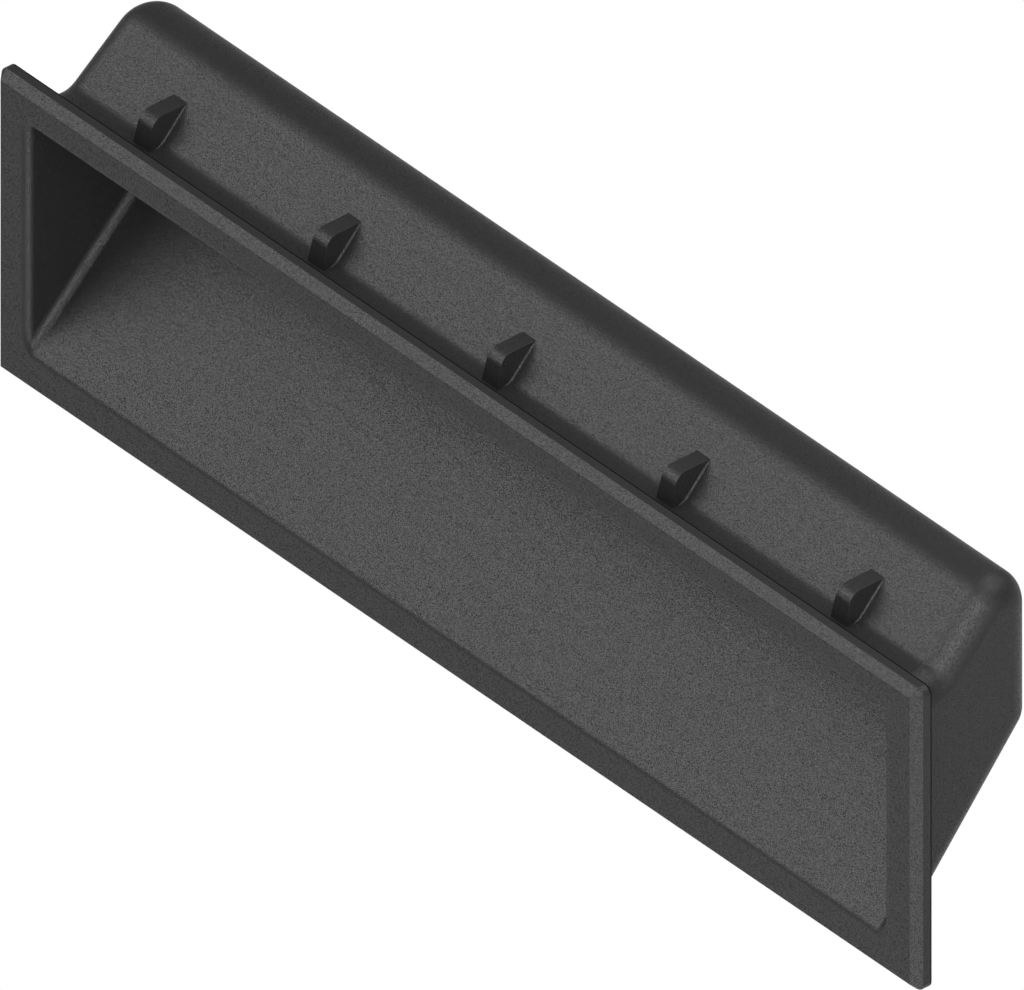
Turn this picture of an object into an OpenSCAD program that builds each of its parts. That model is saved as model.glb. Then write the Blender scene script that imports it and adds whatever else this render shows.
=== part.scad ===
// Recessed pull handle for a sheet-metal panel, moulded in one piece.
// X runs along the handle, Y into the panel and Z up. The origin is the centre
// of the panel's cut-out, in the plane of the panel's front face.

/* [Flange] */
// Width of the flange
flange_w = 205; // [160:1:300]
// Height of the flange
flange_h = 53.2; // [50:0.1:64]
// Thickness of the flange, in front of the panel
flange_t = 3; // [2.6:0.1:5]
// Corner radius of the flange's outline
flange_corner_r = 1.8; // [0.8:0.1:6]
// Width of the 45 degree band round the front face
bevel = 1.45; // [0.6:0.05:1.8]
// Radius that softens both edges of that band
bevel_r = 0.3; // [0.2:0.05:1.2]

/* [Housing] */
// Distance that the flange covers the panel at each end
end_cover = 4.17; // [2.5:0.01:10]
// Distance that the flange covers the panel along its top
top_cover = 3.45; // [2:0.05:6]
// Distance that the flange covers the panel along its foot
foot_cover = 7.35; // [4:0.05:10]
// Depth of the housing behind the panel's front face
depth = 24.64; // [22:0.02:34]
// Length of the level neck on top, behind the flange
neck_l = 5.6; // [4.6:0.05:9]
// Angle at which the roof rises from the neck
roof_angle = 43; // [36:0.5:50]
// Angle at which the floor rises from the flange
floor_angle = 46.7; // [38:0.1:50]
// Radius where the roof turns down into the back wall
roof_r = 6.1; // [5:0.1:8]
// Radius of the hollow where the neck turns up into the roof
neck_r = 2.5; // [1:0.1:4]
// Radius where the floor turns up into the back wall
heel_r = 4.4; // [4:0.1:7]
// Radius round the edge of each end wall
end_r = 4.4; // [2.5:0.1:5]
// Draft of the end walls outside, in degrees
end_draft = 4.75; // [2:0.25:7]

/* [Pocket] */
// Wall of the roof, the back and the floor
wall = 1.9; // [1.4:0.1:3]
// Thicker wall of the neck, above the mouth
neck_wall = 3.15; // [2.4:0.05:4.5]
// Thickness of the end walls where they meet the flange
end_wall = 3.36; // [2.2:0.01:4.5]
// Draft of the end walls inside, in degrees
pocket_draft = 2.4; // [1:0.1:4]
// Radius of the creases inside the pocket
pocket_r = 1.5; // [0.6:0.1:2.4]
// Radius that softens the edge of the mouth
mouth_r = 1.5; // [0.5:0.1:2.2]
// Radius of the edge that the fingers curl behind
grip_r = 1.5; // [0.5:0.1:2.5]

/* [Snap ribs] */
// Number of ribs along the top, and of catches along the foot
rib_n = 5; // [2:1:5]
// Distance from one rib to the next
rib_pitch = 38.77; // [24:0.01:44]
// Gap between the flange and the ribs, which takes the panel
panel_gap = 3.6; // [1.5:0.1:5]
// Height of the ribs above the neck
rib_h = 5.1; // [3:0.1:7]
// Thickness of a rib along its crest
rib_t = 2.9; // [1.5:0.1:5]
// Draft of a rib's sides, in degrees
rib_draft = 4; // [1:0.5:8]
// Lean of a rib's front, in degrees
rib_lean = 12; // [0:1:20]
// Radius of a rib's nose
rib_nose_r = 2.3; // [1:0.1:2.6]
// Distance that a catch reaches below the cut-out's lower edge
catch_reach = 1.2; // [0.5:0.1:2.5]
// Length of a catch along the floor
catch_l = 7; // [4:0.1:9]
// Width of the flat tip of a catch
catch_tip = 0.8; // [0.3:0.1:1.5]

/* [Hidden] */
// Largest distance between a rounded edge and its facets
arc_gap = 0.02;
// Overlap of parts that are moulded as one
sink = 1;
// Least distance at which one curved cut stands clear of another
clear_cut = 0.05;
// Height of the neck above the origin, and depth of the foot below it
neck_z = (flange_h - top_cover - foot_cover) / 2;
foot_z = -neck_z;
flange_top = neck_z + top_cover;
flange_foot = foot_z - foot_cover;
ceiling_z = neck_z - neck_wall;
face_y = -flange_t;
rib_z = neck_z + rib_h;
// Half width of the housing outside, and of the pocket, at the panel's face
housing_x = flange_w / 2 - end_cover;
pocket_x = housing_x - end_wall;
// Directions up the roof and up the floor, as [y, z]
up_roof = [cos(roof_angle), sin(roof_angle)];
up_floor = [cos(floor_angle), sin(floor_angle)];

// Plane geometry on [y, z] pairs
function unit(v) = v / norm(v);
function left(v) = [-v[1], v[0]];
function cross2(a, b) = a[0] * b[1] - a[1] * b[0];
function turn(a, b) = atan2(cross2(a, b), a * b);
function meet(p, u, q, v) = p + u * cross2(q - p, v) / cross2(u, v);
function turned(v, a) = [v[0] * cos(a) - v[1] * sin(a), v[0] * sin(a) + v[1] * cos(a)];
// Number of facets along an arc of radius r that turns through bend degrees
function facets(r, bend) = ceil(abs(bend) / (2 * acos(1 - arc_gap / r)));

// Corner i of an outline, rounded by its radius, with the outline moved in by
// inset. An edge whose hold is 0 stays where it is. Anticlockwise outlines only.
function corner(outline, radii, holds, i, inset) =
    let (n = len(outline))
    let (h = (i + n - 1) % n)
    let (u = unit(outline[i] - outline[h]))
    let (v = unit(outline[(i + 1) % n] - outline[i]))
    let (p = meet(outline[h] + left(u) * inset * holds[h], u, outline[i] + left(v) * inset * holds[i], v))
    let (bend = turn(u, v))
    let (r = max(radii[i] - sign(bend) * inset, 0))
    let (start = p - u * r * tan(abs(bend) / 2))
    let (centre = start + left(u) * sign(bend) * r)
    let (steps = facets(radii[i], bend))
    radii[i] == 0 ? [p] : [for (k = [0:steps]) centre + turned(start - centre, bend * k / steps)];

function rounded(outline, radii, holds, inset) =
    [for (i = [0:len(outline) - 1]) for (p = corner(outline, radii, holds, i, inset)) p];

// Solid between closed rings of points, which run anticlockwise as seen from
// the far end of the stack. The whole of each end can be seen from its ring's
// first point.
module skin(rings) {
    n = len(rings[0]);
    last = len(rings) - 1;
    sides = [
        for (k = [0:last - 1]) for (j = [0:n - 1])
            let (a = k * n + j)
            let (b = k * n + (j + 1) % n)
            for (t = [[a, a + n, b + n], [a, b + n, b]]) t
    ];
    near_cap = [for (j = [0:n - 1]) j];
    far_cap = [for (j = [0:n - 1]) last * n + (n - j) % n];
    polyhedron([for (ring = rings) for (p = ring) p], concat(sides, [near_cap, far_cap]));
}

// Side view carried along X between two drafted ends, whose edges are rounded
// by a ball of radius r
module end_rounded(outline, radii, holds, half_x, draft, r) {
    steps = facets(r, 90);
    left_end = [for (k = [steps:-1:0]) [-1, 90 * k / steps]];
    right_end = [for (k = [0:steps]) [1, 90 * k / steps]];
    skin([
        for (station = concat(left_end, right_end))
            let (loop = rounded(outline, radii, holds, r * (1 - cos(station[1]))))
            let (x = half_x - r * (1 - sin(station[1])))
            [for (p = loop) [station[0] * (x - p[0] * tan(draft)), p[0], p[1]]]
    ]);
}

// Rounded rectangle in the plane at y, from the heights lo to hi. foot_r is the
// height of its lower corners.
function ring(y, half_x, lo, hi, r, foot_r, steps) = [
    for (q = [[1, hi - r, r, 0], [-1, hi - r, r, 90], [-1, lo + foot_r, foot_r, 180], [1, lo + foot_r, foot_r, 270]])
        for (k = [0:steps])
            let (a = q[3] + 90 * k / steps)
            [q[0] * (half_x - r) + r * cos(a), y, q[1] + q[2] * sin(a)]
];

module flange() {
    shoulder = bevel_r * tan(22.5);
    step = 45 / facets(bevel_r, 45);
    side_arc = [for (a = [90:-step:45]) [bevel + shoulder - bevel_r * cos(a), bevel_r * (1 - sin(a))]];
    face_arc = [for (a = [45:-step:0]) [bevel_r * (1 - cos(a)), bevel + shoulder - bevel_r * sin(a)]];
    steps = facets(flange_corner_r, 90);
    skin([
        for (p = concat([[flange_t, 0]], side_arc, face_arc))
            let (r = max(flange_corner_r - p[1], 0))
            ring(face_y + p[0], flange_w / 2 - p[1], flange_foot + p[1], flange_top - p[1], r, r, steps)
    ]);
}

// The housing starts inside the flange, whose plane holds its front edge
module housing() {
    start_y = face_y / 2;
    foot = [0, foot_z];
    neck = [neck_l, neck_z];
    outline = [
        meet(foot, up_floor, [start_y, 0], [0, 1]),
        meet(foot, up_floor, [depth, 0], [0, 1]),
        meet(neck, up_roof, [depth, 0], [0, 1]),
        neck,
        [start_y, neck_z]
    ];
    end_rounded(outline, [0, heel_r, roof_r, neck_r, 0], [1, 1, 1, 1, 0], housing_x, end_draft, end_r);
}

// The hollow for the fingers follows the housing at one wall's distance, and
// runs out through the front face
module pocket() {
    front_y = face_y - sink;
    back_y = depth - wall;
    foot = [0, foot_z] + left(up_floor) * wall;
    roof = [neck_l, neck_z] - left(up_roof) * wall;
    outline = [
        meet(foot, up_floor, [front_y, 0], [0, 1]),
        meet(foot, up_floor, [back_y, 0], [0, 1]),
        meet(roof, up_roof, [back_y, 0], [0, 1]),
        meet(roof, up_roof, [0, ceiling_z], [1, 0]),
        [front_y, ceiling_z]
    ];
    end_rounded(outline, [0, heel_r - wall, roof_r - wall, grip_r, 0], [1, 1, 1, 1, 0], pocket_x, pocket_draft, pocket_r);
}

// Takes the sharp edge off the mouth. Its sides curve out from the pocket's walls
// to the face in front, and it tapers off inside the pocket.
module mouth_edge() {
    bend = 90 - floor_angle;
    floor_at_face = meet([0, foot_z] + left(up_floor) * wall, up_floor, [face_y, 0], [0, 1])[1];
    arc_z = floor_at_face - mouth_r * tan(bend / 2) - clear_cut;
    foot_r = pocket_r / cos(floor_angle);
    arc = [
        for (a = [0:90 / facets(mouth_r, 90):90])
            let (y = face_y + mouth_r * (1 - sin(a)))
            let (over_floor = floor_at_face + (y - face_y) * tan(floor_angle) + sink)
            [y, mouth_r * (1 - cos(a)) + clear_cut, sin(a) < cos(bend) ? over_floor : arc_z + mouth_r * cos(a)]
    ];
    wide = arc[len(arc) - 1];
    deep = [arc[0][0] + sink, -sink, arc[0][2] + 2 * sink];
    steps = facets(pocket_r + mouth_r, 90);
    skin([
        for (s = concat([deep], arc, [[face_y - sink, wide[1], wide[2]]]))
            let (half_x = pocket_x - s[0] * tan(pocket_draft) + s[1])
            ring(s[0], half_x, s[2], ceiling_z + s[1], pocket_r + s[1], foot_r + s[1], steps)
    ]);
}

module extrude_x(width) {
    rotate([90, 0, 90])
        linear_extrude(width, center = true)
            children();
}

// Stands on the neck and runs back into the roof, thinner along its crest
module rib() {
    nose = [
        panel_gap + (rib_h - rib_nose_r) * tan(rib_lean) + rib_nose_r / cos(rib_lean),
        rib_z - rib_nose_r
    ];
    front = nose + rib_nose_r * [-cos(rib_lean), sin(rib_lean)];
    tip = meet([neck_l, neck_z], up_roof, [0, rib_z], [1, 0]);
    base_t = rib_t + 2 * (rib_h + sink) * tan(rib_draft);
    intersection() {
        extrude_x(base_t) {
            polygon([
                [panel_gap - sink * tan(rib_lean), neck_z - sink],
                [neck_l + sink * tan(roof_angle / 2), neck_z - sink],
                tip - left(up_roof) * sink,
                tip,
                [nose[0], rib_z],
                nose,
                front
            ]);
            translate(nose)
                circle(rib_nose_r, $fn = 64);
        }
        translate([0, depth, 0])
            rotate([90, 0, 0])
                linear_extrude(depth)
                    polygon([
                        [-base_t / 2, neck_z - sink],
                        [base_t / 2, neck_z - sink],
                        [rib_t / 2, rib_z],
                        [-rib_t / 2, rib_z]
                    ]);
    }
}

// Holds the lower edge of the cut-out, in line with a rib
module catch() {
    foot = [0, foot_z];
    tip_z = foot_z - catch_reach;
    extrude_x(rib_t)
        polygon([
            [panel_gap, tip_z],
            [panel_gap + catch_tip, tip_z],
            meet(foot, up_floor, [panel_gap + catch_l, 0], [0, 1]),
            meet(foot + left(up_floor) * sink, up_floor, [panel_gap + catch_l, 0], [0, 1]),
            meet(foot + left(up_floor) * sink, up_floor, [panel_gap, 0], [0, 1])
        ]);
}

module pull_handle() {
    color([0.27, 0.27, 0.27])
        difference() {
            union() {
                flange();
                housing();
                for (i = [0:rib_n - 1])
                    translate([(i - (rib_n - 1) / 2) * rib_pitch, 0, 0]) {
                        rib();
                        catch();
                    }
            }
            pocket();
            mouth_edge();
        }
}

pull_handle();
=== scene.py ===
import math
from collections import namedtuple

import bmesh
import bpy
import numpy as np
from bpy.props import FloatProperty, FloatVectorProperty, IntProperty, PointerProperty
from mathutils import Matrix, Vector


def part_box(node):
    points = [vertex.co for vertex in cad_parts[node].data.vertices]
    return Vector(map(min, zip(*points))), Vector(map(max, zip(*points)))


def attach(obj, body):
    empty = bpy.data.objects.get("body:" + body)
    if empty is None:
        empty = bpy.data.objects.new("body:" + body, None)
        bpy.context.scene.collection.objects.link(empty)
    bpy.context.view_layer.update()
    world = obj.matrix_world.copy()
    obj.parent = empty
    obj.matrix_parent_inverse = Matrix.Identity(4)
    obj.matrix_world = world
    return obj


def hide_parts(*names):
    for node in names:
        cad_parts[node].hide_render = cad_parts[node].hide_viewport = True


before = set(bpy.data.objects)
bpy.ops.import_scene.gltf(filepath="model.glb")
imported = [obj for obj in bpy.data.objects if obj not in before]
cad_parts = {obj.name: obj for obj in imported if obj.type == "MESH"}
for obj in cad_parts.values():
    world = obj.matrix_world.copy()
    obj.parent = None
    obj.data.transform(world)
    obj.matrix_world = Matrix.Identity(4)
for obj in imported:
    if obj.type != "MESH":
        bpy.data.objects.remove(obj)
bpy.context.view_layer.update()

bl_info = {
    "name": "Recessed Pull Handle",
    "version": (1, 0, 0),
    "blender": (4, 5, 0),
    "location": "View3D > Sidebar > Pull Handle",
    "description": "Builds a moulded recessed pull handle round its packed model, and a plain stage for it",
    "category": "Add Mesh",
}

NODE = "pull_handle"
LOW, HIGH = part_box(NODE)
MM = 0.001

# Facets of the housing and the pocket between their ends and round each end, and points up
# each side of the mouth
FLATS, TURNS, SIDES = 24, 14, 8
# Facets across the mouth's rounding, each edge of the band and the flange's back edge
MOUTH_STEPS, BAND_STEPS, BACK_STEPS = 10, 6, 5
# Facets of a rib or catch from side to side and round each edge of its sides
BAR_FLATS, BAR_TURNS = 2, 6
# Facets across the bead and along its straight part
BEAD_ACROSS, BEAD_ALONG = 7, 8
# Largest facet of all other roundings, in degrees
FACET = 6.0
# Edges sharper than this stay sharp in the shading
SHARP_ANGLE = math.radians(32)

# Radius of the flange's corners where an outline moved in would have none
LEAST_R = 0.08 * MM
# Softening of the rim of the near-black line round the flange's back, which is painted shade
LINE_SOFT = 0.03 * MM
# Radius of a bar's corners as a multiple of its edge radius, so that a corner moved in along
# the edge keeps some radius
CORNER_SHARE = 1.2
# The bead's radius at its start, which is also its end's distance below the rib's crest
BEAD_START = 0.02 * MM
# The bead's radius grows by the first share of its distance from the start, and stays within
# the second share of its distance below the rib's crest
BEAD_GROWTH, BEAD_FADE = 0.3, 0.6
# Depth that the bead's back runs into the rib and the wall
BEAD_SINK = 0.08 * MM

# Index of refraction of the plastic, and octaves of its grain and of the line's mottling
PLASTIC_IOR, PLASTIC_OCTAVES, LINE_OCTAVES = 1.5, 1, 2

# Width of the picture in pixels, and how many of them one millimetre of the handle covers
PICTURE_WIDTH, PIXELS_PER_MM = 1024, 6.951
# Distance of the camera from the face, and how far it sees, in metres
CAMERA_FAR, CAMERA_SIGHT = 0.6, 20
# Width of the floor in metres, and its roughness
FLOOR_WIDTH, FLOOR_ROUGHNESS = 6, 0.9
# Strength at which a backdrop renders white
WHITE = 1

# Turn and rise of the lamp and its width are in degrees, its level is that on a face turned
# to it, and far is its distance in metres, which is 0 for a sun
Lamp = namedtuple("Lamp", "name turn rise level width far")
LAMPS = (
    Lamp("key", turn=225, rise=36, level=0.2, width=50, far=0),
    Lamp("key low", turn=228, rise=30, level=0.164, width=42, far=0),
    Lamp("top", turn=278, rise=46, level=0.135, width=20, far=0),
    Lamp("fill", turn=-35, rise=28, level=0.57, width=45, far=0.6),
    Lamp("side", turn=0, rise=3, level=0.15, width=40, far=0.6),
    Lamp("overhead", turn=60, rise=60, level=0.42, width=60, far=0.6),
    Lamp("bounce", turn=-50, rise=-35, level=0.28, width=45, far=0.6),
)


def length(name, description, default):
    """A size in metres for a property group."""
    return FloatProperty(name=name, description=description, default=default, unit="LENGTH",
                         precision=5, min=0.0)


def angle(name, description, default):
    """An angle for a property group, given in degrees and kept in radians."""
    return FloatProperty(name=name, description=description, default=math.radians(default),
                         unit="ROTATION", subtype="ANGLE")


def factor(name, description, default):
    """A value from 0 to 1 for a property group."""
    return FloatProperty(name=name, description=description, default=default, subtype="FACTOR",
                         min=0.0, max=1.0)


def grey(name, description, default):
    """A grey for a property group, given as the value of all three channels."""
    return FloatVectorProperty(name=name, description=description, default=(default,) * 3,
                               subtype="COLOR", size=3, min=0.0, max=1.0)


class HandleSizes(bpy.types.PropertyGroup):
    """Sizes of the handle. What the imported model's box gives is read from it."""

    width: length("Flange width", "Overall width of the flange", HIGH.x - LOW.x)
    flange_foot: length("Flange foot", "Depth of the flange's lower edge below the origin", -LOW.z)
    flange_top: length("Flange top", "Height of the flange's upper edge above the origin", 24.65 * MM)
    flange_t: length("Flange thickness", "Distance of the front face from the panel", -LOW.y)
    corner_r: length("Corner radius", "Radius of the flange's four corners", 1.5 * MM)
    bevel: length("Bevel", "Width of the band round the front face", 1.45 * MM)
    bevel_r: length("Bevel edge radius", "Radius that softens both edges of the band", 0.3 * MM)
    back_r: length("Back edge radius", "Radius of the flange's edge before its painted shade line", 0.15 * MM)
    # The line round the flange's back is painted shade, near black, in a step of the flange
    line: length("Painted shade line", "Thickness of the dark line round the flange's back", 0.13 * MM)
    line_in: length("Painted shade line depth", "Depth that the line's rim runs into the flange", 0.4 * MM)
    depth: length("Depth", "Depth of the housing behind the panel's face", HIGH.y)
    half_x: length("Housing half width", "Half width of the housing at the panel's face", 98.33 * MM)
    half_z: length("Housing half height", "Half height of the housing at the panel's face", 21.2 * MM)
    neck_l: length("Neck length", "Length of the level neck behind the flange", 5.6 * MM)
    neck_r: length("Neck radius", "Radius of the hollow between the neck and the roof", 2.5 * MM)
    roof_r: length("Roof radius", "Radius between the roof and the back wall", 6.1 * MM)
    heel_r: length("Heel radius", "Radius between the floor and the back wall", 4.5 * MM)
    end_r: length("End radius", "Radius round the edge of each end wall", 4.4 * MM)
    roof_a: angle("Roof angle", "Rise of the roof from the neck", 43.0)
    floor_a: angle("Floor angle", "Rise of the floor from the flange", 46.7)
    end_draft: angle("End draft", "Draft of the end walls outside", 4.75)
    wall: length("Wall", "Wall of the roof, the back and the floor", 1.9 * MM)
    neck_wall: length("Neck wall", "Wall above the mouth", 3.15 * MM)
    end_wall: length("End wall", "Wall at both ends of the mouth", 3.36 * MM)
    pocket_draft: angle("Pocket draft", "Draft of the end walls inside", 2.4)
    pocket_r: length("Crease radius", "Radius of the creases inside the pocket", 1.5 * MM)
    mouth_r: length("Mouth radius", "Radius of the mouth's edge", 1.5 * MM)
    grip_r: length("Grip radius", "Radius of the edge that the fingers curl behind", 1.5 * MM)


class RibSizes(bpy.types.PropertyGroup):
    """Sizes of the ribs above and the catches below."""

    count: IntProperty(name="Ribs", description="Number of ribs, and of catches", default=5, min=2)
    pitch: length("Pitch", "Distance from one rib to the next", 38.77 * MM)
    gap: length("Panel gap", "Gap between the flange and the ribs", 3.6 * MM)
    height: length("Rib height", "Height of a rib above the neck", 5.1 * MM)
    crest: length("Crest thickness", "Thickness of a rib along its crest", 2.9 * MM)
    draft: angle("Rib draft", "Draft of a rib's sides", 4.0)
    lean: angle("Rib lean", "Lean of a rib's front", 12.0)
    nose_r: length("Nose radius", "Radius of a rib's nose", 2.3 * MM)
    edge_r: length("Edge radius", "Radius of the edges of ribs and catches", 0.06 * MM)
    bead_r: length("Bead radius", "Radius of the hollow between a rib's side and the housing", 0.33 * MM)
    sink: length("Sink", "Depth that a rib's foot runs into the wall", 1.0 * MM)
    reach: length("Catch reach", "Reach of a catch below the cut-out's edge", 1.2 * MM)
    catch_l: length("Catch length", "Length of a catch along the floor", 7.0 * MM)
    tip: length("Catch tip", "Width of the flat tip of a catch", 0.8 * MM)


class PlasticFinish(bpy.types.PropertyGroup):
    """Colour and grain of the moulded plastic."""

    colour: grey("Colour", "Colour of the plastic on the grain's crests", 0.0225)
    # The pits' near-black colour is painted shade; the grain itself, its bump and roughness are real
    pit_shade_colour: grey("Pit shade colour", "Colour in the grain's pits, which shade themselves", 0.0008)
    roughness: factor("Roughness", "Roughness of the plastic on the grain's crests", 0.22)
    pit_roughness: factor("Pit roughness", "Roughness in the grain's pits", 0.75)
    gloss: factor("Gloss", "Level of the gloss, which is 0.5 for a smooth plastic", 0.48)
    grain: length("Grain size", "Distance between the grains of the mould's texture", 0.14 * MM)
    grain_depth: length("Grain depth", "Depth of the mould's texture", 0.056 * MM)
    pit: factor("Pit", "Height of the grain up to which it is all pit", 0.38)
    crest: factor("Crest", "Height of the grain from which it has the crest's colour", 0.5)
    shine: factor("Shine", "Height of the grain from which it has the crest's roughness", 0.46)


class LineFinish(bpy.types.PropertyGroup):
    """Finish of the near-black line round the flange's back, which is painted shade."""

    colour: grey("Colour", "Lighter colour of the line's mottling", 0.006)
    pit_shade_colour: grey("Dark colour", "Darker colour of the line's mottling", 0.002)
    roughness: factor("Roughness", "Roughness of the line", 0.8)
    gloss: factor("Gloss", "Level of the gloss, which is 0.5 for a smooth plastic", 0.1)
    scale: FloatProperty(name="Scale", description="Number of the mottling's spots in a metre",
                         default=900.0, min=1.0)


class StageSettings(bpy.types.PropertyGroup):
    """Floor, light and view of the stage."""

    drop: length("Floor drop", "Distance of the floor below the handle", 0.55)
    shade: grey("Floor colour", "Colour of the floor", 0.75)
    world: factor("Room light", "Level of the light from all round", 0.28)
    turn: angle("Camera turn", "Turn of the camera round the handle", 49.68)
    rise: angle("Camera rise", "Height of the camera over the handle", 35.264)
    shift_right: length("Shift right", "Distance of the picture's centre right of the face's", 8.222 * MM)
    shift_up: length("Shift up", "Distance of the picture's centre above the face's", 5.415 * MM)


def unit(v):
    """Vectors divided by their lengths."""
    return v / np.linalg.norm(v, axis=-1, keepdims=True)


def left_of(v):
    """Plane vectors turned a quarter turn anticlockwise."""
    return np.stack([-v[..., 1], v[..., 0]], axis=-1)


def rising(slope):
    """Direction in the side view that runs back and rises at the slope in radians."""
    return np.array([math.cos(slope), math.sin(slope)])


def meet(p, u, q, v):
    """Point where the line through p along u meets the line through q along v."""
    return p + u * (np.cross(q - p, v) / np.cross(u, v))


def turned(a, b, t):
    """Directions at the share t of an even turn from the unit vectors a to b.

    Each is sin((1 - t) * bend) * a + sin(t * bend) * b, divided by sin(bend), where bend
    is the angle between a and b.
    """
    bend = np.arccos(np.clip((a * b).sum(-1, keepdims=True), -1, 1))
    return (np.sin((1 - t) * bend) * a + np.sin(t * bend) * b) / np.sin(bend)


def facets_of(turn):
    """Number of facets for a turn in radians."""
    return max(2, int(np.ceil(abs(np.degrees(turn)) / FACET)))


def round_corners(corners, radii, before=None, after=None):
    """Centres, signed radii and inward normals of all arc points of an outline.

    At each corner the inward normal turns evenly from that of the edge before to that
    of the edge after. The centre is the corner moved along the mitre by the radius, and
    a hollow corner has a negative radius. An arc point of the outline moved in by s is
    centre - (radius - s) * normal. before and after give the outer ends' directions.
    """
    corners = np.asarray(corners, float)
    n = len(corners)
    centres, rs, normals = [], [], []
    for i, r in enumerate(radii):
        u = corners[i] - corners[i - 1] if i or before is None else np.asarray(before)
        v = corners[(i + 1) % n] - corners[i] if i < n - 1 or after is None else np.asarray(after)
        nu, nv = left_of(unit(u)), left_of(unit(v))
        turn = math.atan2(np.cross(nu, nv), nu @ nv)
        signed = math.copysign(r, turn)
        mitre = (nu + nv) / (1 + nu @ nv)
        t = np.linspace(0, turn, facets_of(turn) + 1)
        centres.append(np.repeat([corners[i] + signed * mitre], len(t), 0))
        rs.append(np.full(len(t), signed))
        normals.append(np.stack([nu[0] * np.cos(t) - nu[1] * np.sin(t),
                                 nu[0] * np.sin(t) + nu[1] * np.cos(t)], -1))
    return np.concatenate(centres), np.concatenate(rs), np.concatenate(normals)


def moved_in(corners, radii, inset, before=None, after=None):
    """Side views of all stations, by arc points: the outline moved in by each inset."""
    c, r, n = round_corners(corners, radii, before, after)
    return c - (r - inset[:, None])[..., None] * n


def stations(r, flats, turns):
    """Shares of the width, turns, insets and setbacks of the stations along X.

    Round each end the inset is r * (1 - cos a) and the setback from the end r * (1 - sin a),
    with a turning from 90 degrees at the end to 0. Between the ends the inset is 0 and the
    setback r.
    """
    a = np.linspace(0.5 * np.pi, 0, turns + 1)
    between = np.linspace(-1, 1, flats + 1)[1:-1]
    share = np.concatenate([np.full(turns + 1, -1.0), between, np.full(turns + 1, 1.0)])
    turn = np.concatenate([a, np.zeros(flats - 1), a[::-1]])
    return share, turn, r * (1 - np.cos(turn)), r * (1 - np.sin(turn))


def spread(share, half_x, setback, yz):
    """Side views at their places along X, each its share of half_x less its setback."""
    x = np.broadcast_to(share[:, None] * (half_x - setback[:, None]), yz.shape[:-1])
    return np.concatenate([x[..., None], yz], -1)


class Skin:
    """Collects the points and faces of one closed surface."""

    def __init__(self):
        self.points, self.faces, self.count = [], [], 0

    def add(self, points):
        """Adds points and returns their numbers in the same layout."""
        points = np.asarray(points, float)
        self.points.append(points.reshape(-1, 3))
        number = self.count + np.arange(points.size // 3).reshape(points.shape[:-1])
        self.count += points.size // 3
        return number

    def strip(self, a, b, closed=True):
        """Quads between two rows of point numbers of equal length."""
        if closed:
            a, b = np.append(a, a[0]), np.append(b, b[0])
        self.faces += np.stack([a[:-1], a[1:], b[1:], b[:-1]], -1).tolist()

    def grid(self, numbers, closed=False):
        """Quads between the rows of a grid of point numbers."""
        for a, b in zip(numbers[:-1], numbers[1:]):
            self.strip(a, b, closed)

    def face(self, numbers):
        """One flat face of many corners."""
        self.faces.append([int(n) for n in numbers])

    def mesh(self, name):
        """Mesh whose faces all point outwards."""
        mesh = bpy.data.meshes.new(name)
        mesh.from_pydata(np.concatenate(self.points).tolist(), [], self.faces)
        work = bmesh.new()
        work.from_mesh(mesh)
        bmesh.ops.recalc_face_normals(work, faces=work.faces)
        if work.calc_volume(signed=True) < 0:
            bmesh.ops.reverse_faces(work, faces=work.faces)
        work.to_mesh(mesh)
        work.free()
        return mesh


def bag(skin, loops):
    """Open bag of stations by loop points, with a flat end at each side.

    Returns the numbers round its mouth: the first points of all loops from left to
    right, points up the right end, the last points back to the left, and points down
    the left end.
    """
    g = skin.add(loops)
    skin.grid(g)
    t = np.linspace(0, 1, SIDES + 2)[1:-1, None]
    right = skin.add(loops[-1, 0] * (1 - t) + loops[-1, -1] * t)
    left = skin.add(loops[0, -1] * (1 - t) + loops[0, 0] * t)
    skin.face(np.concatenate([g[-1], right[::-1]]))
    skin.face(np.concatenate([g[0, ::-1], left[::-1]]))
    return np.concatenate([g[:, 0], right, g[::-1, -1], left])


def bar(name, rings):
    """Closed bar through rings of points, with a flat face at each end."""
    skin = Skin()
    g = skin.add(rings)
    skin.grid(g, closed=True)
    skin.face(g[0, ::-1])
    skin.face(g[-1])
    return skin.mesh(name)


def housing_loops(s):
    """Stations by loop points of the housing's outside, from the flange back to it.

    Each loop runs up the floor, round the heel, up the back, down the roof and forward
    along the neck, moved in by the station's inset. x is the station's share of
    half_x - y * tan(draft) - setback.
    """
    share, _, inset, setback = stations(s.end_r, FLATS, TURNS)
    up_floor, up_roof, up = rising(s.floor_a), rising(s.roof_a), np.array([0.0, 1.0])
    foot, neck = np.array([0, -s.half_z]), np.array([s.neck_l, s.half_z])
    back = np.array([s.depth, 0])
    corners = [meet(foot, up_floor, back, up), meet(neck, up_roof, back, up), neck]
    rounded = moved_in(corners, [s.heel_r, s.roof_r, s.neck_r], inset, up_floor, (-1, 0))
    first = np.stack([0 * inset, -s.half_z + inset / math.cos(s.floor_a)], -1)
    last = np.stack([0 * inset, s.half_z - inset], -1)
    yz = np.concatenate([first[:, None], rounded, last[:, None]], 1)
    return spread(share, s.half_x - yz[..., 0] * math.tan(s.end_draft), setback, yz)


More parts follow.
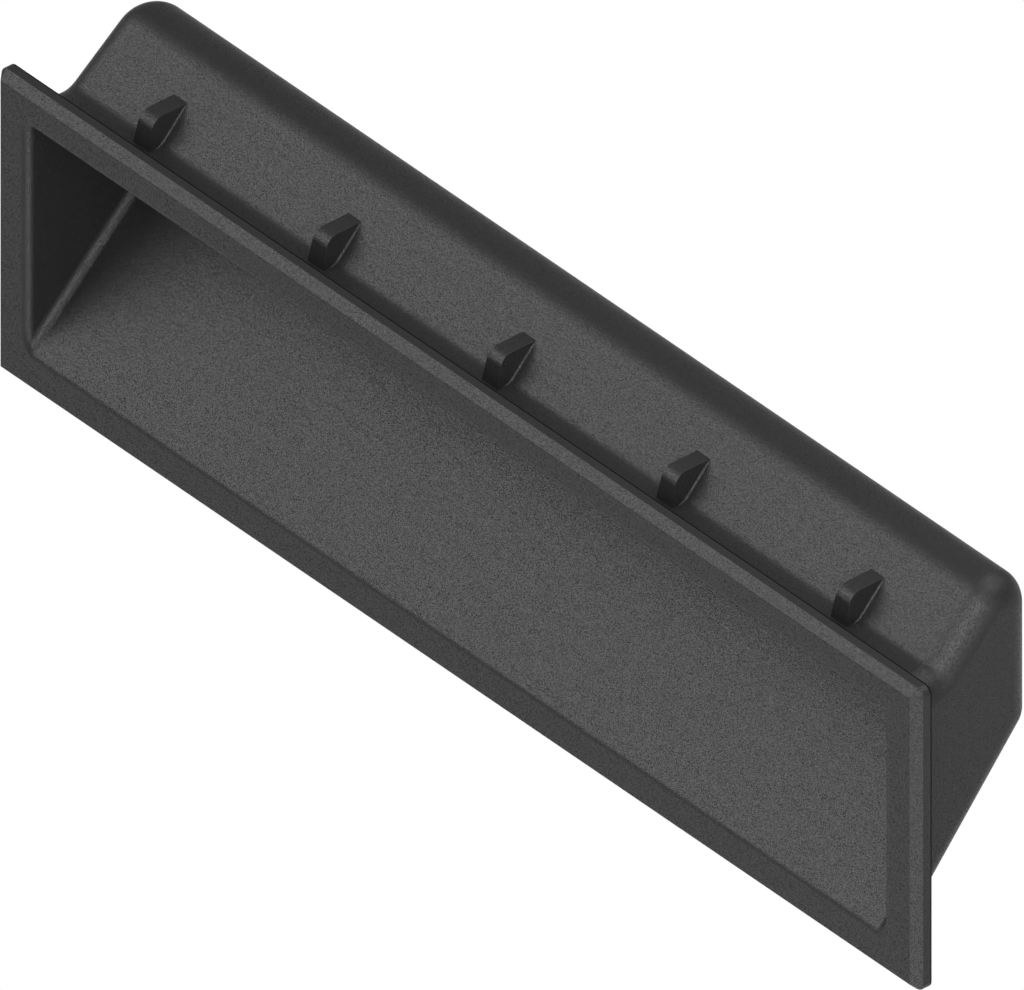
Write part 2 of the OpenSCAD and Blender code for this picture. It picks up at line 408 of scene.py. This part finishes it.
def pocket_loops(s):
    """Stations by loop points of the pocket, and the mouth's wall normals.

    The loops are those of the housing less its walls. A loop starts and ends where the
    mouth's rounding touches the wall. There the rounding's ball, of radius mouth_r,
    touches the front face too, so the wall's point lies mouth_r * (1 + normal_y) behind
    the face. In a crease the normal turns from the floor's or the ceiling's to the end
    wall's.
    """
    share, turn, inset, setback = stations(s.pocket_r, FLATS, TURNS)
    half_x = s.half_x - s.end_wall
    up_floor, up_roof, up = rising(s.floor_a), rising(s.roof_a), np.array([0.0, 1.0])
    foot = np.array([0, -s.half_z]) + left_of(up_floor) * s.wall
    roof = np.array([s.neck_l, s.half_z]) - left_of(up_roof) * s.wall
    ceiling = np.array([0, s.half_z - s.neck_wall])
    back = np.array([s.depth - s.wall, 0])
    corners = [meet(foot, up_floor, back, up), meet(roof, up_roof, back, up),
               meet(roof, up_roof, ceiling, np.array([1.0, 0.0]))]
    radii = [s.heel_r - s.wall, s.roof_r - s.wall, s.grip_r]
    rounded = moved_in(corners, radii, inset, up_floor, (-1, 0))
    side = np.sign(share) * (turn > 0)
    end_n = np.stack([-side * math.cos(s.pocket_draft), -np.abs(side) * math.sin(s.pocket_draft),
                      0 * side], -1)

    def at_mouth(plane_n):
        """Wall normal and y of the rounding's first point at each station."""
        normal = unit(np.cos(turn)[:, None] * plane_n + np.sin(turn)[:, None] * end_n)
        return normal, -s.flange_t + s.mouth_r * (1 + normal[:, 1])

    floor_n, floor_y = at_mouth(np.array([0, -up_floor[1], up_floor[0]]))
    top_n, top_y = at_mouth(np.array([0, 0, -1.0]))
    floor_z = foot[1] + (floor_y - foot[0]) * math.tan(s.floor_a) + inset / up_floor[0]
    first = np.stack([floor_y, floor_z], -1)
    last = np.stack([top_y, ceiling[1] - inset], -1)
    yz = np.concatenate([first[:, None], rounded, last[:, None]], 1)
    loops = spread(share, half_x - yz[..., 0] * math.tan(s.pocket_draft), setback, yz)
    up_right, down_left = np.repeat(floor_n[-1:], SIDES, 0), np.repeat(floor_n[:1], SIDES, 0)
    return loops, np.concatenate([floor_n, up_right, top_n[::-1], down_left])


def rectangle(y, half_x, low, high, r):
    """Rounded rectangle at y, laid out as the mouth of a bag.

    Round each corner x is half_x - r * (1 - sin a) and the distance from the upper or
    lower edge r * (1 - cos a), with a turning evenly.
    """
    share, turn, _, _ = stations(1.0, FLATS, TURNS)
    x = share * (half_x - r + r * np.sin(turn))
    drop = r * (1 - np.cos(turn))
    z = np.linspace(low + r, high - r, SIDES + 2)[1:-1]
    full = np.full(SIDES, half_x)
    xs = np.concatenate([x, full, x[::-1], -full])
    zs = np.concatenate([low + drop, z, high - drop[::-1], z[::-1]])
    return np.stack([xs, np.full(len(xs), y), zs], -1)


def flange_ring(s, back, inset):
    """Flange's outline, back from its face by a distance and moved in by an inset."""
    return rectangle(back - s.flange_t, s.width / 2 - inset, inset - s.flange_foot,
                     s.flange_top - inset, max(s.corner_r - inset, LEAST_R))


def flange_edge(s):
    """Distances back from the face and insets of the rings round the flange's edge.

    They follow an arc of 45 degrees into the band, the same arc mirrored out of it, a
    quarter of a circle at the back edge, and the step in that the near-black line of painted
    shade fills.
    """
    a = np.radians(np.linspace(0, 45, BAND_STEPS + 1))
    run = s.bevel + s.bevel_r * math.tan(math.pi / 8)
    into_band = np.stack([s.bevel_r * (1 - np.cos(a)), run - s.bevel_r * np.sin(a)], -1)
    out_of_band = into_band[::-1, ::-1]
    b = np.radians(np.linspace(0, 90, BACK_STEPS + 1))
    rim = s.flange_t - s.line
    back_edge = np.stack([rim - s.back_r * (1 - np.sin(b)), s.back_r * (1 - np.cos(b))], -1)
    step = np.array([[rim, s.line_in], [s.flange_t, s.line_in]])
    return np.concatenate([into_band, out_of_band, back_edge, step])


def make_body(s):
    """Flange, pocket and housing as one closed surface.

    The pocket's mouth rolls over into the front face: a point of the rounding is the
    ball's centre plus mouth_r times a direction that turns from the wall's normal to
    the face's. The rings that follow cross the face, its band and the flange's edge,
    and the flat back joins the last of them to the housing.
    """
    skin = Skin()
    loops, normals = pocket_loops(s)
    ring = bag(skin, loops)
    wall = np.concatenate(skin.points)[ring]
    centre = wall - s.mouth_r * normals
    face_n = np.array([0, -1.0, 0])
    rings = [centre + s.mouth_r * turned(normals, face_n, t)
             for t in np.linspace(0, 1, MOUTH_STEPS + 1)[1:]]
    rings += [flange_ring(s, back, inset) for back, inset in flange_edge(s)]
    for points in rings:
        after = skin.add(points)
        skin.strip(ring, after)
        ring = after
    skin.strip(ring, bag(skin, housing_loops(s)))
    return skin.mesh("body")


def make_line(s):
    """Near-black rim round the flange's back, painted shade along the flange's back edge.

    It is a closed ring through six outlines of the flange, whose outer edges are
    softened by a narrow slope.
    """
    skin = Skin()
    front, back = s.flange_t - s.line, s.flange_t
    outlines = ((front, s.line_in), (front, LINE_SOFT), (front + LINE_SOFT, 0.0),
                (back - LINE_SOFT, 0.0), (back, LINE_SOFT), (back, s.line_in))
    rings = [skin.add(flange_ring(s, *outline)) for outline in outlines]
    for a, b in zip(rings, rings[1:] + rings[:1]):
        skin.strip(a, b)
    return skin.mesh("painted shade line")


def make_bar(name, corners, radii, half_x, edge_r):
    """Bar with a side view given by corners, between two flat sides.

    half_x gives half the thickness at a height. The edges round both sides are rolled
    over with edge_r, as the housing's ends are.
    """
    share, _, inset, setback = stations(edge_r, BAR_FLATS, BAR_TURNS)
    yz = moved_in(corners, radii, inset)
    return bar(name, spread(share, half_x(yz[..., 1]), setback, yz))


def make_rib(s, rib):
    """Rib that stands on the neck and runs back into the roof.

    Its side view has a foot sunk into the wall, a level crest up to the roof and a
    leaning front with a rounded nose. Half its thickness is rib_half_x.
    """
    low, crest = s.half_z - rib.sink, s.half_z + rib.height
    lean = math.tan(rib.lean)
    tip = s.neck_l + rib.height / math.tan(s.roof_a) + rib.sink / math.sin(s.roof_a)
    corners = [(rib.gap - rib.sink * lean, low), (s.neck_l + rib.sink * math.tan(s.roof_a / 2), low),
               (tip, crest), (rib.gap + rib.height * lean, crest)]
    radii = [rib.edge_r * CORNER_SHARE] * 3 + [rib.nose_r]
    return make_bar("rib", corners, radii, lambda z: rib_half_x(s, rib, z), rib.edge_r)


def rib_half_x(s, rib, z):
    """Half a rib's thickness at z: half its crest's plus tan(draft) for each length below."""
    return rib.crest / 2 + (s.half_z + rib.height - z) * math.tan(rib.draft)


def make_bead(s, rib, side):
    """Hollow fillet along one side of a rib, from the neck's end up the roof.

    A ball rolls along the housing against the rib's side. Its centre lies its radius
    from both, and a point of the fillet is the centre minus the radius times a
    direction that turns from the side's normal to the housing's. The radius grows from
    the start and fades towards the crest. The fillet is closed inside the rib and the
    wall.
    """
    up_roof = rising(s.roof_a)
    neck = np.array([s.neck_l, s.half_z])
    tip = neck + up_roof * (rib.height - BEAD_START) / up_roof[1]
    c, r, n = round_corners([neck], [s.neck_r], (1, 0), up_roof)
    arc = c - r[:, None] * n
    t = np.linspace(0, 1, BEAD_ALONG + 1)[1:, None]
    path = np.concatenate([arc, arc[-1] + (tip - arc[-1]) * t])
    normal = np.concatenate([n, np.repeat(n[-1:], len(t), 0)])
    from_start = path[:, 0] - arc[0, 0]
    below_crest = s.half_z + rib.height - path[:, 1]
    radius = np.minimum(rib.bead_r, np.minimum(BEAD_FADE * below_crest,
                                               BEAD_START + BEAD_GROWTH * from_start))
    centre = path + radius[:, None] * normal
    x = rib_half_x(s, rib, centre[:, 1]) + radius / math.cos(rib.draft)
    centre = np.concatenate([x[:, None], centre], -1)
    wall = np.concatenate([np.zeros((len(path), 1)), normal], -1)
    flank = np.broadcast_to([math.cos(rib.draft), 0, math.sin(rib.draft)], wall.shape)
    t = np.linspace(0, 1, BEAD_ACROSS + 1)[None, :, None]
    hollow = centre[:, None] - radius[:, None, None] * turned(flank[:, None], wall[:, None], t)
    inner = np.stack([hollow[:, -1] - BEAD_SINK * wall,
                      centre - (radius[:, None] + BEAD_SINK) * (wall + flank),
                      hollow[:, 0] - BEAD_SINK * flank], 1)
    rings = np.concatenate([hollow, inner], 1)
    rings[..., 0] *= side
    return bar("bead", rings)


def make_catch(s, rib):
    """Catch that holds the cut-out's lower edge.

    Its side view has an upright front, a flat tip below the housing and a slope back to
    the floor, into which its upper edge is sunk.
    """
    rise = math.tan(s.floor_a)
    sunk = rib.sink / math.cos(s.floor_a)
    back = rib.gap + rib.catch_l
    low = -s.half_z - rib.reach
    corners = [(rib.gap, low), (rib.gap + rib.tip, low), (back, -s.half_z + back * rise),
               (back, -s.half_z + back * rise + sunk), (rib.gap, -s.half_z + rib.gap * rise + sunk)]
    radii = [rib.edge_r * CORNER_SHARE] * len(corners)
    return make_bar("catch", corners, radii, lambda z: rib.crest / 2, rib.edge_r)


def joined(name, placed):
    """One mesh of many, each at its place along X."""
    work = bmesh.new()
    for mesh, x in placed:
        moved = mesh.copy()
        moved.transform(Matrix.Translation((x, 0, 0)))
        work.from_mesh(moved)
        bpy.data.meshes.remove(moved)
    whole = bpy.data.meshes.new(name)
    work.to_mesh(whole)
    work.free()
    return whole


def make_object(name, mesh):
    """Object at the origin that shows the mesh."""
    made = bpy.data.objects.new(name, mesh)
    bpy.context.scene.collection.objects.link(made)
    return made


def smooth(made):
    """Smooth shading whose normals follow the large flat faces."""
    made.data.polygons.foreach_set("use_smooth", [True] * len(made.data.polygons))
    made.data.set_sharp_from_angle(angle=SHARP_ANGLE)
    weighted = made.modifiers.new("Weighted Normal", "WEIGHTED_NORMAL")
    weighted.keep_sharp = True


def new_material(name):
    """New material with nodes, and its nodes, links and shader."""
    material = bpy.data.materials.new(name)
    material.use_nodes = True
    nodes = material.node_tree.nodes
    return material, nodes, material.node_tree.links, nodes["Principled BSDF"]


def grain_colour(nodes, links, shader, finish, scale, octaves, low=0.0, high=1.0):
    """Colours the shader by a noise, from the pits' colour at low to the crests' at high.
    The pits' darker colour is painted shade.

    Returns the socket that gives the noise's height.
    """
    place = nodes.new("ShaderNodeTexCoord")
    noise = nodes.new("ShaderNodeTexNoise")
    noise.inputs["Scale"].default_value = scale
    noise.inputs["Detail"].default_value = octaves
    shades = nodes.new("ShaderNodeValToRGB")
    pit, crest = shades.color_ramp.elements
    pit.position, crest.position = low, high
    pit.color, crest.color = (*finish.pit_shade_colour, 1), (*finish.colour, 1)
    links.new(place.outputs["Object"], noise.inputs["Vector"])
    links.new(noise.outputs["Fac"], shades.inputs["Fac"])
    links.new(shades.outputs["Color"], shader.inputs["Base Color"])
    return noise.outputs["Fac"]


def plastic(finish):
    """Dark grey moulded plastic with the fine grain of a spark-eroded mould.

    One noise gives the grain's height. Its pits are dark and dull, the dark being painted
    shade in the pits, and its crests lighter and smoother, and the same height drives the bump.
    """
    material, nodes, links, shader = new_material("grained_plastic")
    shader.inputs["IOR"].default_value = PLASTIC_IOR
    shader.inputs["Specular IOR Level"].default_value = finish.gloss
    # Low values of the noise get the pits' near-black colour, which is painted shade in the grain's pits
    height = grain_colour(nodes, links, shader, finish, 1 / finish.grain, PLASTIC_OCTAVES,
                          finish.pit, finish.crest)
    rough = nodes.new("ShaderNodeMapRange")
    for name, value in (("From Min", finish.pit), ("From Max", finish.shine),
                        ("To Min", finish.pit_roughness), ("To Max", finish.roughness)):
        rough.inputs[name].default_value = value
    bump = nodes.new("ShaderNodeBump")
    bump.inputs["Distance"].default_value = finish.grain_depth
    links.new(height, rough.inputs["Value"])
    links.new(height, bump.inputs["Height"])
    links.new(rough.outputs["Result"], shader.inputs["Roughness"])
    links.new(bump.outputs["Normal"], shader.inputs["Normal"])
    return material


def dark_line(finish):
    """Near black, faintly mottled finish of the line round the flange's back, which is painted shade."""
    material, nodes, links, shader = new_material("painted_shade_line")
    shader.inputs["Roughness"].default_value = finish.roughness
    shader.inputs["Specular IOR Level"].default_value = finish.gloss
    grain_colour(nodes, links, shader, finish, finish.scale, LINE_OCTAVES)
    return material


class HANDLE_OT_handle(bpy.types.Operator):
    """Build the handle with its ribs and catches, and dress it in grained plastic"""

    bl_idname = "pull_handle.handle"
    bl_label = "Build Handle"

    def execute(self, context):
        scene = context.scene
        sizes, ribs = scene.handle_sizes, scene.rib_sizes
        row = [make_rib(sizes, ribs), make_catch(sizes, ribs),
               make_bead(sizes, ribs, 1), make_bead(sizes, ribs, -1)]
        placed = [(make_body(sizes), 0.0)]
        for i in range(ribs.count):
            x = (i - (ribs.count - 1) / 2) * ribs.pitch
            placed += [(mesh, x) for mesh in row]
        handle = make_object("handle", joined("handle", placed))
        smooth(handle)
        handle.data.materials.append(plastic(scene.plastic_finish))
        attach(handle, "root")
        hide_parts(NODE)
        return {"FINISHED"}


class HANDLE_OT_line(bpy.types.Operator):
    """Add the near-black line round the back of the flange, which is painted shade along its back edge"""

    bl_idname = "pull_handle.line"
    bl_label = "Add Painted Shade Line"

    def execute(self, context):
        # The line's near-black colour is painted shade along the flange's back edge
        line = make_object("painted_shade_line", make_line(context.scene.handle_sizes))
        line.data.materials.append(dark_line(context.scene.line_finish))
        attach(line, "root")
        return {"FINISHED"}


def seen(nodes, links):
    """Socket that is 1 for what the camera sees, also through glass, and 0 for other rays."""
    path = nodes.new("ShaderNodeLightPath")
    larger = nodes.new("ShaderNodeMath")
    larger.operation = "MAXIMUM"
    links.new(path.outputs["Is Camera Ray"], larger.inputs[0])
    links.new(path.outputs["Is Transmission Ray"], larger.inputs[1])
    return larger.outputs[0]


def lay_floor(stage):
    """Pale floor under the handle that the camera sees as plain white."""
    bpy.ops.mesh.primitive_plane_add(size=FLOOR_WIDTH, location=(0, 0, LOW.z - stage.drop))
    floor = bpy.context.active_object
    floor.name = "floor"
    material, nodes, links, diffuse = new_material("pale_floor")
    diffuse.inputs["Base Color"].default_value = (*stage.shade, 1)
    diffuse.inputs["Roughness"].default_value = FLOOR_ROUGHNESS
    glow = nodes.new("ShaderNodeEmission")
    glow.inputs["Strength"].default_value = WHITE
    mix = nodes.new("ShaderNodeMixShader")
    links.new(seen(nodes, links), mix.inputs["Fac"])
    links.new(diffuse.outputs["BSDF"], mix.inputs[1])
    links.new(glow.outputs["Emission"], mix.inputs[2])
    links.new(mix.outputs["Shader"], nodes["Material Output"].inputs["Surface"])
    floor.data.materials.append(material)


def light_room(scene, stage):
    """Even light from all round, from a room that the camera sees as plain white."""
    world = bpy.data.worlds.new("studio")
    world.use_nodes = True
    nodes, links = world.node_tree.nodes, world.node_tree.links
    room = nodes["Background"]
    room.inputs["Color"].default_value = (1, 1, 1, 1)
    level = nodes.new("ShaderNodeMapRange")
    level.inputs["To Min"].default_value = stage.world
    level.inputs["To Max"].default_value = WHITE
    links.new(seen(nodes, links), level.inputs["Value"])
    links.new(level.outputs["Result"], room.inputs["Strength"])
    scene.world = world


def set_camera(scene, stage):
    """Camera with a parallel view of the face's centre, shifted by the settings."""
    right = Vector((math.cos(stage.turn), math.sin(stage.turn), 0))
    ahead = Vector((-math.sin(stage.turn) * math.cos(stage.rise),
                    math.cos(stage.turn) * math.cos(stage.rise), -math.sin(stage.rise)))
    up = right.cross(ahead)
    face = Vector((0, LOW.y, (scene.handle_sizes.flange_top + LOW.z) / 2))
    aim = face + right * stage.shift_right + up * stage.shift_up
    camera = bpy.data.cameras.new("camera")
    camera.type = "ORTHO"
    camera.ortho_scale = PICTURE_WIDTH / PIXELS_PER_MM * MM
    camera.clip_end = CAMERA_SIGHT
    eye = make_object("camera", camera)
    facing = Matrix((right, up, -ahead)).transposed().to_4x4()
    eye.matrix_world = Matrix.Translation(aim - ahead * CAMERA_FAR) @ facing
    scene.camera = eye


def hang(lamp):
    """Sun, or round lamp at its distance, for a white face turned to it.

    The face takes the level from a sun of strength pi * level, or from a lamp of power
    (pi * far) ** 2 * level, less what a wide lamp loses at its rim.
    """
    turn, rise, width = math.radians(lamp.turn), math.radians(lamp.rise), math.radians(lamp.width)
    source = Vector((math.cos(rise) * math.cos(turn), math.cos(rise) * math.sin(turn), math.sin(rise)))
    if lamp.far:
        light = bpy.data.lights.new(lamp.name, "AREA")
        light.shape = "DISK"
        light.size = 2 * lamp.far * math.tan(width / 2)
        light.energy = (math.pi * lamp.far) ** 2 * lamp.level
    else:
        light = bpy.data.lights.new(lamp.name, "SUN")
        light.angle = width
        light.energy = math.pi * lamp.level
    hung = make_object(lamp.name, light)
    facing = source.to_track_quat("Z", "Y").to_matrix().to_4x4()
    hung.matrix_world = Matrix.Translation(source * lamp.far) @ facing
    hung.visible_camera = False


class HANDLE_OT_stage(bpy.types.Operator):
    """Lay the floor, light the room, set the camera and hang the lamps"""

    bl_idname = "pull_handle.stage"
    bl_label = "Set Stage"

    def execute(self, context):
        scene = context.scene
        lay_floor(scene.stage_settings)
        light_room(scene, scene.stage_settings)
        set_camera(scene, scene.stage_settings)
        for lamp in LAMPS:
            hang(lamp)
        scene.view_settings.view_transform = "Standard"
        return {"FINISHED"}


# Operators in order, each with the property groups that the panel shows below it
STEPS = (
    ("pull_handle.handle", ("handle_sizes", "rib_sizes", "plastic_finish")),
    ("pull_handle.line", ("line_finish",)),
    ("pull_handle.stage", ("stage_settings",)),
)


class HANDLE_PT_panel(bpy.types.Panel):
    """Lists the operators and their values"""

    bl_idname = "HANDLE_PT_panel"
    bl_label = "Pull Handle"
    bl_space_type = "VIEW_3D"
    bl_region_type = "UI"
    bl_category = "Pull Handle"

    def draw(self, context):
        for operator, groups in STEPS:
            self.layout.operator(operator)
            for group in groups:
                values = getattr(context.scene, group)
                for name in values.__annotations__:
                    self.layout.prop(values, name)


GROUPS = {
    "handle_sizes": HandleSizes,
    "rib_sizes": RibSizes,
    "plastic_finish": PlasticFinish,
    "line_finish": LineFinish,
    "stage_settings": StageSettings,
}
CLASSES = (*GROUPS.values(), HANDLE_OT_handle, HANDLE_OT_line, HANDLE_OT_stage, HANDLE_PT_panel)


def register():
    """Registers the classes and gives the scene its property groups."""
    for made in CLASSES:
        bpy.utils.register_class(made)
    for name, group in GROUPS.items():
        setattr(bpy.types.Scene, name, PointerProperty(type=group))


def unregister():
    """Takes away what register gave."""
    for name in GROUPS:
        delattr(bpy.types.Scene, name)
    for made in reversed(CLASSES):
        bpy.utils.unregister_class(made)


def main():
    """Builds the handle and its stage."""
    register()
    bpy.ops.pull_handle.handle()
    bpy.ops.pull_handle.line()
    bpy.ops.pull_handle.stage()


if __name__ == "__main__":
    main()
